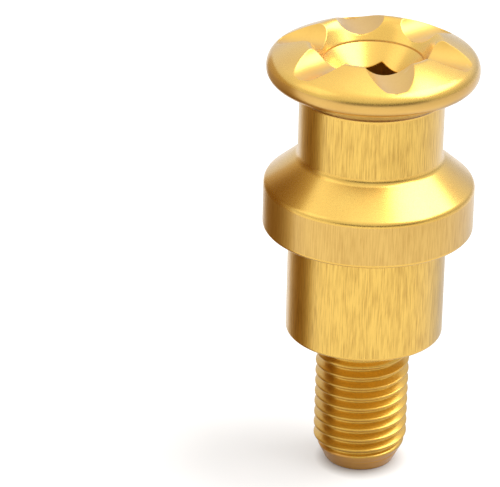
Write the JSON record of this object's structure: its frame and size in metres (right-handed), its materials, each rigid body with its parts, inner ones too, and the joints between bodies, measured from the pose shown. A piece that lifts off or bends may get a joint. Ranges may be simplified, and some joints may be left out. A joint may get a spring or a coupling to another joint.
{
  "type": "swingarm spool",
  "caption": "Motorcycle paddock-stand spool: scalloped domed head with hexagon socket, hook waist, coned collar, spacer and threaded stud, turned as one piece.",
  "frame": {"origin": "centre of the stud's end face, which is the lowest point", "axes": "+Z along the axis from the stud to the head; the hexagon and scallops are turned as the picture shows them to a viewer on the -Y side"},
  "size_m": [0.0266, 0.0266, 0.058],
  "materials": {
    "anodised_aluminium": "satin gold anodised aluminium, turned, with fine grain along the axis on the straight faces"
  },
  "bodies": {
    "root": {"spool": "anodised_aluminium"}
  },
  "joints": []
}
